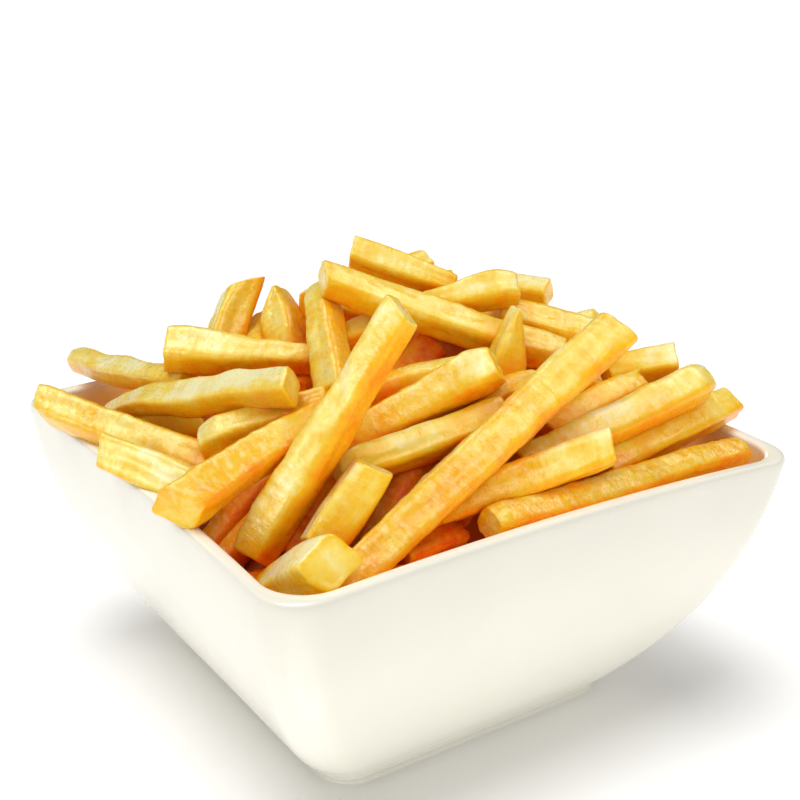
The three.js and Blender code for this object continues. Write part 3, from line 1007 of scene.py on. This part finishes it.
def core_material(fries):
    """The inside of the heap, seen only through the gaps, in the fries' deep colours darkened as painted
    shade.
    """
    graph = Graph("heap_core")
    place = graph.add("ShaderNodeTexCoord").outputs["Object"]
    patches = graph.noise(place, 160.0, 4.0)
    # Painted shade: the deep and amber colours of the fries darkened.
    colour = graph.mix(graph.spread(patches, 0.3, 0.7), rgba(fries.deep, 0.55), rgba(fries.amber, 0.6))
    shader = graph.add("ShaderNodeBsdfPrincipled", {
        "Base Color": colour, "Roughness": 0.6, "Normal": graph.bump(patches, 0.8, 0.002),
        "Specular IOR Level": 0.1,
    })
    return graph.finish(shader)


def floor_material():
    """Plain pale floor with a barely uneven tone."""
    graph = Graph("floor")
    place = graph.add("ShaderNodeTexCoord").outputs["Object"]
    tone = graph.noise(place, 4.0, 2.0)
    colour = graph.mix(tone, (0.95, 0.95, 0.96, 1.0), (0.97, 0.97, 0.98, 1.0))
    shader = graph.add("ShaderNodeBsdfPrincipled", {"Base Color": colour, "Roughness": 0.85})
    return graph.finish(shader)


# ---------------------------------------------------------------------------------------------
# Stage
# ---------------------------------------------------------------------------------------------

STUDIO_WHITE = (1.0, 0.99, 0.97)
WORLD_STRENGTH = 0.45
FLOOR_HALF = 30.0
SENSOR_WIDTH = 36.0
CLIP_RANGE = (0.01, 50.0)
LIGHT_GROUPS = ("food", "dish", "pieces", "dish_and_floor", "nothing")


class Lamp(NamedTuple):
    """A distant lamp: the way to it, its strength, how wide it is in degrees, the group of pieces it
    lights, the group that shades them (everything if None), whether it shows in matt and in glossy
    surfaces, and its colour."""

    name: str
    towards: tuple
    power: float
    spread: float
    lights: str
    shadows: str = None
    matt: bool = True
    gloss: bool = True
    tint: tuple = STUDIO_WHITE


WARM = (1.0, 0.965, 0.87)
SHINE = (1.0, 0.94, 0.74)

LAMPS = (
    Lamp("top_left", (-0.28, -0.01, 1.00), 1.17, 34, "dish_and_floor"),
    Lamp("top_right", (-0.05, 0.04, 1.00), 1.17, 34, "dish_and_floor"),
    Lamp("right", (0.10, -1.00, 0.10), 0.09, 40, "dish", "nothing"),
    Lamp("under", (-0.22, -0.26, -1.00), 1.25, 40, "dish", "pieces"),
    Lamp("rim_back", (0.55, 0.80, 0.22), 0.48, 12, "dish", "nothing"),
    Lamp("food_top_left", (-0.45, 0.10, 1.00), 0.73, 24, "food", "food", tint=WARM),
    Lamp("food_top_right", (0.10, -0.45, 1.00), 0.50, 30, "food", "food", tint=WARM),
    Lamp("food_back", (-0.10, 0.45, 1.00), 0.38, 24, "food", "food", tint=WARM),
    Lamp("food_left", (-1.00, 0.20, 0.20), 0.23, 50, "food", "food", gloss=False, tint=WARM),
    Lamp("food_right", (0.20, -1.00, 0.20), 0.41, 50, "food", "food", gloss=False, tint=WARM),
    Lamp("food_front", (-0.35, -0.95, 0.30), 0.30, 60, "food", "nothing", gloss=False, tint=WARM),
    Lamp("food_low", (-0.10, -0.90, -0.45), 0.74, 60, "food", "food", gloss=False, tint=WARM),
    Lamp("food_behind", (0.60, 0.85, 0.25), 0.70, 50, "food", "food", gloss=False, tint=WARM),
    Lamp("shine_back", (-0.20, 0.55, 0.82), 1.50, 30, "food", "food", matt=False, tint=SHINE),
    Lamp("shine_left", (-0.94, 0.14, 0.34), 2.20, 30, "food", "food", matt=False, tint=SHINE),
    Lamp("shine_front", (0.14, -0.55, 0.80), 1.10, 30, "food", "food", matt=False, tint=SHINE),
    Lamp("shine_high", (0.50, -0.10, 0.86), 1.60, 30, "food", "food", matt=False, tint=SHINE),
)


def make_camera(scene, view):
    """The camera at the viewpoint."""
    camera = bpy.data.cameras.new("camera")
    camera.sensor_width = SENSOR_WIDTH
    camera.lens = view.focal * SENSOR_WIDTH / PICTURE_SIZE
    camera.clip_start, camera.clip_end = CLIP_RANGE
    holder = bpy.data.objects.new("camera", camera)
    holder.matrix_world = view.matrix()
    scene.collection.objects.link(holder)
    scene.camera = holder


def make_floor(scene):
    """A level square that reaches FLOOR_HALF each way."""
    mesh = bpy.data.meshes.new("floor")
    corners = [(x * FLOOR_HALF, y * FLOOR_HALF, 0.0) for x, y in ((-1, -1), (1, -1), (1, 1), (-1, 1))]
    mesh.from_pydata(corners, [], [(0, 1, 2, 3)])
    mesh.materials.append(floor_material())
    floor = bpy.data.objects.new("floor", mesh)
    scene.collection.objects.link(floor)
    return floor


def make_world(scene):
    """Even light from all round, which doesn't show in gloss."""
    world = bpy.data.worlds.new("studio")
    world.use_nodes = True
    background = world.node_tree.nodes["Background"].inputs
    background["Color"].default_value = rgba(STUDIO_WHITE)
    background["Strength"].default_value = WORLD_STRENGTH
    world.cycles_visibility.glossy = False
    scene.world = world
    scene.view_settings.view_transform = "Standard"


def make_lamps(scene, floor):
    """The lamps, and the groups of pieces that they light."""
    groups = {name: bpy.data.collections.new(name) for name in LIGHT_GROUPS}
    groups["dish_and_floor"].objects.link(floor)
    for lamp in LAMPS:
        light = bpy.data.lights.new(lamp.name, "SUN")
        light.energy = lamp.power
        light.angle = math.radians(lamp.spread)
        light.color = lamp.tint
        holder = bpy.data.objects.new(lamp.name, light)
        holder.location = lamp.towards
        holder.rotation_euler = Vector(lamp.towards).to_track_quat("Z", "Y").to_euler()
        holder.visible_diffuse = lamp.matt
        holder.visible_glossy = lamp.gloss
        scene.collection.objects.link(holder)
        holder.light_linking.receiver_collection = groups[lamp.lights]
        if lamp.shadows:
            holder.light_linking.blocker_collection = groups[lamp.shadows]


# ---------------------------------------------------------------------------------------------
# Layout of the fries
# ---------------------------------------------------------------------------------------------

FIRST_LAYER_ON_TOP = 8.5

# How far above the rim a fry that lies on it stands, in its radii, the room that top fries keep as they
# settle, how flat they are, and the share of their bow that goes up.
RIM_CLEARANCE = 1.12
SETTLE_ROOM = 1.04
FLATNESS = 0.97
BOW_UP = 0.4


def top_layout(view, bowl):
    """Where the fries on top lie: each on its two sight lines, as deep as the dome or with its start on
    the rim, then settled."""
    points = np.array([[fry.start, fry.end] for fry in TOP_FRIES], float)
    lines = view.sight(points)
    widths = np.array([fry.width for fry in TOP_FRIES]) * MM
    radius = widths.mean(axis=1) * 0.5
    on_rim = np.array([fry.on_rim for fry in TOP_FRIES])
    layer = np.array([fry.layer for fry in TOP_FRIES])
    depths = np.stack([on_dome(view, points[:, end]) for end in (0, 1)], axis=1)
    depths[:, 1] += np.array([fry.lean for fry in TOP_FRIES]) * MM
    rest_height = bowl.rim_height + bowl.rim_rise + RIM_CLEARANCE * radius
    limits = np.stack([depths_in_bowl(view, bowl, lines[:, end], radius) for end in (0, 1)], axis=2)
    limits[:, on_rim, 0] = ((rest_height - view.place[2]) / lines[:, 0, 2])[on_rim]
    depths = settle(view, lines, np.clip(depths, *limits), *limits, radius * SETTLE_ROOM, layer)
    starts, ends = (view.place + depths[:, end, None] * lines[:, end] for end in (0, 1))
    crust = np.array([fry.crust for fry in TOP_FRIES])
    bends = np.array([[fry.bend * MM, fry.bend * MM * BOW_UP] for fry in TOP_FRIES])
    cuts = [(fry.start_cut, fry.end_cut) for fry in TOP_FRIES]
    rolls = np.radians([fry.roll for fry in TOP_FRIES])
    return {"shape": (starts, ends, widths, widths * FLATNESS, rolls, cuts, bends, crust),
            "radius": radius, "place": np.arange(len(TOP_FRIES)),
            "piece": np.where(layer < FIRST_LAYER_ON_TOP, "fries_in_front", "fries_on_top")}


class Round(NamedTuple):
    """One round of filling: the piece its fries go to, how far under the dome they lie at least, how
    many are tried, their longest length, and whether they all go behind the heap's middle."""

    piece: str
    drop: float
    count: int
    longest: float = 0.092
    behind: bool = False


FILL_ROUNDS = (
    *[Round("fries_between", drop, 46) for drop in (0.0048, 0.0048, 0.0052)],
    *[Round("fries_at_back", 0.0048, 40, 0.080, True)] * 3,
    *[Round("fries_at_back", 0.0056, 44, 0.052, True)] * 8,
    *[Round("fries_between", 0.0060, 44, 0.050)] * 4,
    *[Round("fries_between", 0.0100, 40, 0.070)] * 2,
    *[Round("fries_beneath", drop, 44) for drop in (0.0130, 0.0130, 0.0190, 0.0190)],
)

# Where fries at the back lie: further than BEHIND_FROM this way from the middle.
BACKWARD = np.array([0.56, 0.83])
BEHIND_FROM = -0.015

# New fries: how many places are drawn for each, how far out and how deep, the shortest, and the radii.
FILL_TRIES = 8
FILL_OUT = 0.064
FILL_DEPTH = 0.012
FILL_SHORTEST = 0.028
FILL_RADII = (0.0036, 0.0046)

# How they settle: the steps, the last ones without a lift, the lift and the longest move of a step,
# the overlap that is left, the gap to the wall and the lowest place.
FILL_STEPS = 140
FILL_SETTLE = 40
FILL_LIFT = 0.0003
FILL_STRIDE = 0.002
FILL_TOUCH = 0.0011
WALL_GAP = 0.0006
FILL_LOWEST = 0.030

# The heap's outline in the picture.
SKYLINE = ((0, 400), (68, 347), (160, 326), (205, 330), (225, 290), (259, 277), (278, 288), (305, 283),
           (330, 262), (352, 242), (420, 262), (455, 275), (492, 268), (545, 280), (555, 300),
           (600, 306), (632, 316), (655, 343), (680, 350), (712, 362), (740, 400), (760, 452), (800, 460))

# Picture points where the heap stays open, each with its reach in pixels, and how deep it is there.
GAPS = np.array([(222.0, 541.0, 14.0), (398.0, 492.0, 10.0), (632.0, 452.0, 8.0)])
GAP_DEPTH = 0.012

# A new fry is looked at in so many places. It hides a top fry that it crosses within this share of
# its radius and is this much nearer, and stays this many radii out of a free corner.
SEEN_PLACES = 15
HIDE_SHARE = 0.8
HIDE_DEPTH = 0.001
CORNER_PLACES = 25
CORNER_RADII = 1.1


def keep_inside(bowl, end, radius, drop):
    """Moves fry ends into the heap's room: inside the wall, and at least drop under the dome."""
    free = (inner_half(bowl, end[:, 2]) - radius - WALL_GAP)[:, None]
    end[:, :2] = np.clip(end[:, :2], -free, free)
    end[:, 2] = np.minimum(end[:, 2], dome_height(end[:, 0], end[:, 1]) - drop)
    end[:, 2] = np.maximum(end[:, 2], FILL_LOWEST)
    return end


def moves_apart(a, b, radius, laid, new_pairs, old_pairs):
    """How both ends of each new fry move to get it out of the others. An overlap is shared out to the
    ends by how near they are to it. Two new fries both give way, and one laid before stays."""
    move_a, move_b = np.zeros_like(a), np.zeros_like(b)
    for (first, second), other_a, other_b, other_radius, both in (
            (new_pairs, a, b, radius, True),
            (old_pairs, laid["a"], laid["b"], laid["radius"], False)):
        t, s = nearest(a[first], b[first], other_a[second], other_b[second])
        here = lerp(a[first], b[first], t[:, None])
        there = lerp(other_a[second], other_b[second], s[:, None])
        gap = here - there
        distance = np.linalg.norm(gap, axis=1) + 1e-9
        over = np.maximum(radius[first] + other_radius[second] - distance, 0.0)
        push = gap / distance[:, None] * over[:, None] * (0.25 if both else 0.5)
        np.add.at(move_a, first, push * (1 - t)[:, None])
        np.add.at(move_b, first, push * t[:, None])
        if both:
            np.add.at(move_a, second, -push * (1 - s)[:, None])
            np.add.at(move_b, second, -push * s[:, None])
    return move_a, move_b


def those_that_fit(view, a, b, radius, laid, new_pairs, old_pairs):
    """Which new fries stay: those that hides_top doesn't name, that keep out of the free corners, and
    that cut into none laid before and none of the new ones that stay."""
    first, old = old_pairs
    distance = gaps_between(a[first], b[first], laid["a"][old], laid["b"][old])
    out = np.zeros(len(a), bool)
    np.logical_or.at(out, first, radius[first] + laid["radius"][old] - distance > FILL_TOUCH)
    out |= hides_top(view, a, b, radius, laid) | in_free_corner(a, b, radius)
    first, second = new_pairs
    distance = gaps_between(a[first], b[first], a[second], b[second])
    clash = np.zeros((len(a), len(a)), bool)
    clash[first, second] = radius[first] + radius[second] - distance > FILL_TOUCH
    keep = []
    for fry in np.flatnonzero(~out):
        if not any(clash[other, fry] for other in keep):
            keep.append(fry)
    return keep


def fill_round(rng, view, bowl, laid, round_):
    """Lays new fries under the dome, between and under those laid before, and adds them to laid. They
    start at random, are lifted towards the dome and pushed out of each other and of the fries laid
    before, and those that still don't fit are taken out again."""
    drop, count = round_.drop, round_.count
    length = rng.uniform(FILL_SHORTEST, round_.longest, count)
    heading = rng.uniform(0.0, 2 * np.pi, count)
    middle = rng.uniform(-FILL_OUT, FILL_OUT, (FILL_TRIES * count, 2))
    if round_.behind:
        middle = middle[middle @ BACKWARD > BEHIND_FROM]
    middle = middle[:count]
    step = 0.5 * length[:, None] * np.stack([np.cos(heading), np.sin(heading)], axis=1)
    radius = rng.uniform(*FILL_RADII, count)
    ends = [np.concatenate([middle + sign * step, np.zeros((count, 1))], axis=1) for sign in (-1, 1)]
    for end in ends:
        end[:, 2] = dome_height(end[:, 0], end[:, 1]) - drop - rng.uniform(0.0, FILL_DEPTH, count)
    a, b = (keep_inside(bowl, end, radius, drop) for end in ends)
    new_pairs = np.triu_indices(count, 1)
    old_pairs = [grid.ravel() for grid in np.mgrid[0:count, 0:len(laid["a"])]]
    for turn in range(FILL_STEPS):
        moves = moves_apart(a, b, radius, laid, new_pairs, old_pairs)
        lift = FILL_LIFT if turn < FILL_STEPS - FILL_SETTLE else 0.0
        a, b = (end + np.clip(move, -FILL_STRIDE, FILL_STRIDE) + (0.0, 0.0, lift)
                for end, move in zip((a, b), moves))
        a, b = (keep_inside(bowl, end, radius, drop) for end in (a, b))
        along = b - a
        fix = along * (0.5 * (1 - length / np.linalg.norm(along, axis=1)))[:, None]
        a, b = a + fix, b - fix
    keep = those_that_fit(view, a, b, radius, laid, new_pairs, old_pairs)
    for key, new in (("a", a), ("b", b), ("radius", radius)):
        laid[key] = np.concatenate([laid[key], new[keep]])
    laid["piece"] += [round_.piece] * len(keep)


def hides_top(view, a, b, radius, laid):
    """Which fries, seen from the viewpoint, stand out above the heap's outline, in front of one of the
    top fries or high up in one of the gaps."""
    along = np.linspace(0.0, 1.0, SEEN_PLACES)[None, :, None]
    places = lerp(a[:, None], b[:, None], along)
    seen, depth = view.picture(places), view.depth(places)
    reach = radius[:, None] * view.focal / depth
    line = np.array(SKYLINE, float)
    above = seen[..., 1] - reach < np.interp(seen[..., 0], line[:, 0], line[:, 1])
    tops = laid["tops"]
    top_places = lerp(laid["a"][:tops, None], laid["b"][:tops, None], along)
    top_seen, top_depth = view.picture(top_places), view.depth(top_places)
    start, run = top_seen[:, 0], top_seen[:, -1] - top_seen[:, 0]
    offset = seen[:, :, None] - start
    share = np.clip((offset * run).sum(-1) / (run ** 2).sum(-1), 0.0, 1.0)
    near = np.linalg.norm(offset - share[..., None] * run, axis=-1)
    deep = lerp(top_depth[:, 0], top_depth[:, -1], share)
    inside = near < laid["radius"][:tops] * view.focal / deep * HIDE_SHARE
    hiding = (inside & (depth[:, :, None] < deep - HIDE_DEPTH)).any(axis=(1, 2))
    high = dome_height(places[..., 0], places[..., 1]) - places[..., 2] < GAP_DEPTH
    to_gap = np.linalg.norm(seen[:, :, None] - GAPS[:, :2], axis=-1) - GAPS[:, 2] - reach[..., None]
    in_gap = ((to_gap < 0.0) & high[..., None]).any(axis=(1, 2))
    return above.any(axis=1) | hiding | in_gap


def in_free_corner(a, b, radius):
    """Which fries reach into one of the boxes beside the heap that stay free."""
    along = np.linspace(0.0, 1.0, CORNER_PLACES)[None, :, None]
    places = lerp(a[:, None], b[:, None], along)[:, :, None]
    reach = radius[:, None, None, None] * CORNER_RADII
    inside = (places > FREE_BOXES[:, 0] - reach) & (places < FREE_BOXES[:, 1] + reach)
    return inside.all(axis=3).any(axis=(1, 2))


# How the fries under the top ones vary: the ranges of their widths and heights as shares of their
# thickness, the spread of their bow, and the mean and the spread of their crust.
WIDTH_RANGE = (0.90, 1.08)
HEIGHT_RANGE = (0.88, 1.04)
BOW_SPREAD = 0.0007
CRUST_MEAN = 0.55
CRUST_SPREAD = 0.28


def fill_layout(rng, view, bowl, top):
    """The fries under, between and behind those on top, and the ends and radii of all fries."""
    starts, ends = top["shape"][:2]
    laid = {"a": starts, "b": ends, "radius": top["radius"], "tops": len(starts), "piece": []}
    for round_ in FILL_ROUNDS:
        fill_round(rng, view, bowl, laid, round_)
    tops = laid["tops"]
    a, b, radius = (laid[key][tops:] for key in ("a", "b", "radius"))
    count = len(a)
    widths = 2 * radius[:, None] * rng.uniform(*WIDTH_RANGE, (count, 2))
    heights = 2 * radius[:, None] * rng.uniform(*HEIGHT_RANGE, (count, 2))
    kinds = (SQUARE, OPEN, LEFT_SHORT, RIGHT_SHORT, ROUND, TORN, WEDGE, SQUARE, ROUND)
    picks = rng.integers(0, len(kinds), (count, 2))
    cuts = [(kinds[p], kinds[q]) for p, q in picks]
    rolls = rng.uniform(0.0, np.pi / 2, count)
    bends = rng.normal(0.0, BOW_SPREAD, (count, 2))
    crust = np.clip(rng.normal(CRUST_MEAN, CRUST_SPREAD, (count, 2)), 0.0, 1.0)
    fill = {"shape": (a, b, widths, heights, rolls, cuts, bends, crust), "radius": radius,
            "place": tops + np.arange(count), "piece": np.array(laid["piece"])}
    return fill, (laid["a"], laid["b"], laid["radius"])


def those_of(layout, piece):
    """The part of a layout that goes to one piece."""
    picks = np.flatnonzero(layout["piece"] == piece)
    shape = [[kind[pick] for pick in picks] if isinstance(kind, list) else kind[picks]
             for kind in layout["shape"]]
    return {"shape": shape, "radius": layout["radius"][picks], "place": layout["place"][picks]}


# The core: the heights of its top and its edge, its gap to the wall, how far its shoulder steps in, half
# the side of its last outline, its widest corner and that corner's share of the half side, the share of
# the wall it starts at, and how far its first outline lies in and down from there.
CORE_TOP = 0.100
CORE_EDGE = 0.052
CORE_GAP = 0.0006
CORE_SHOULDER = 0.004
CORE_TIP = 0.006
CORE_CORNER = 0.02
CORE_CORNER_SHARE = 0.6
CORE_START = 0.04
CORE_STEP_IN = 0.006
CORE_STEP_DOWN = 0.0008


def core_surface(bowl):
    """The core: it follows the inside of the bowl up to its edge and closes as a dome, which narrows
    evenly while its height rises as a sine."""
    share = np.linspace(CORE_START, (CORE_EDGE - FLOOR_TOP) / (bowl.rim_height - FLOOR_TOP), 12)
    half, corner, height, _ = inner_wall(bowl, share)
    half = half - CORE_GAP
    top = np.linspace(0.0, 1.0, 14)[1:]
    top_half = lerp(half[-1] - CORE_SHOULDER, CORE_TIP, top)
    top_height = lerp(CORE_EDGE, CORE_TOP, np.sin(top * np.pi / 2))
    top_corner = np.minimum(CORE_CORNER_SHARE * top_half, CORE_CORNER)
    half = np.concatenate([[half[0] - CORE_STEP_IN], half, top_half])
    corner = np.concatenate([[FLOOR_CORNER * 0.5], corner, top_corner])
    height = np.concatenate([[height[0] - CORE_STEP_DOWN], height, top_height])
    return closed_skin(square_rings(half, corner, height, np.zeros_like(height), 12, 6))


# ---------------------------------------------------------------------------------------------
# Operators
# ---------------------------------------------------------------------------------------------

class FRIES_OT_bowl(bpy.types.Operator):
    """Make the glazed bowl"""

    bl_idname = "fries.bowl"
    bl_label = "Bowl"

    def execute(self, context):
        bowl = context.scene.bowl_settings
        points, quads, fans, inside = bowl_surface(bowl)
        piece = make_piece("glazed_bowl", points, quads, fans, glaze_material(bowl), "glaze",
                           values={"inside": inside})
        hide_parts("bowl")
        return {"FINISHED"}


# Stations along and points round each fry of a piece.
FRY_STEPS = {"fries_in_front": (84, 44), "fries_on_top": (84, 44), "fries_between": (38, 26),
             "fries_at_back": (44, 28), "fries_beneath": (24, 20)}


class FRIES_OT_heap(bpy.types.Operator):
    """Make the heap: its core and all its fries"""

    bl_idname = "fries.heap"
    bl_label = "Heap of fries"

    def execute(self, context):
        scene = context.scene
        view = Viewpoint(scene.stage_settings)
        rng = np.random.default_rng(scene.fries_settings.seed)
        potato = potato_material(scene.fries_settings)
        points, quads, fans = core_surface(scene.bowl_settings)
        core = make_piece("heap_core", points, quads, fans, core_material(scene.fries_settings),
                          "fried_potato")
        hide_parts("fries_heap")
        top = top_layout(view, scene.bowl_settings)
        fill, everything = fill_layout(rng, view, scene.bowl_settings, top)
        for piece, steps in FRY_STEPS.items():
            layout = those_of(top if piece in top["piece"] else fill, piece)
            join_fries(piece, rng, layout, everything, view.place, *steps, potato)
        return {"FINISHED"}


class FRIES_OT_stage(bpy.types.Operator):
    """Make the floor, the lights and the camera"""

    bl_idname = "fries.stage"
    bl_label = "Stage"

    def execute(self, context):
        scene = context.scene
        make_camera(scene, Viewpoint(scene.stage_settings))
        floor = make_floor(scene)
        make_world(scene)
        make_lamps(scene, floor)
        return {"FINISHED"}


class FRIES_PT_panel(bpy.types.Panel):
    """Buttons in the sidebar"""

    bl_idname = "FRIES_PT_panel"
    bl_label = "Bowl of French Fries"
    bl_space_type = "VIEW_3D"
    bl_region_type = "UI"
    bl_category = "Fries"

    def draw(self, context):
        for operator in OPERATORS:
            self.layout.operator(operator.bl_idname)


OPERATORS = (FRIES_OT_bowl, FRIES_OT_heap, FRIES_OT_stage)
SETTINGS = (("bowl_settings", BowlSettings), ("fries_settings", FriesSettings),
            ("stage_settings", StageSettings))


def register():
    for name, group in SETTINGS:
        bpy.utils.register_class(group)
        setattr(bpy.types.Scene, name, bpy.props.PointerProperty(type=group))
    for kind in (*OPERATORS, FRIES_PT_panel):
        bpy.utils.register_class(kind)


def unregister():
    for kind in (FRIES_PT_panel, *reversed(OPERATORS)):
        bpy.utils.unregister_class(kind)
    for name, group in reversed(SETTINGS):
        delattr(bpy.types.Scene, name)
        bpy.utils.unregister_class(group)


def main():
    register()
    bpy.ops.fries.stage()
    bpy.ops.fries.bowl()
    bpy.ops.fries.heap()


if __name__ == "__main__":
    main()
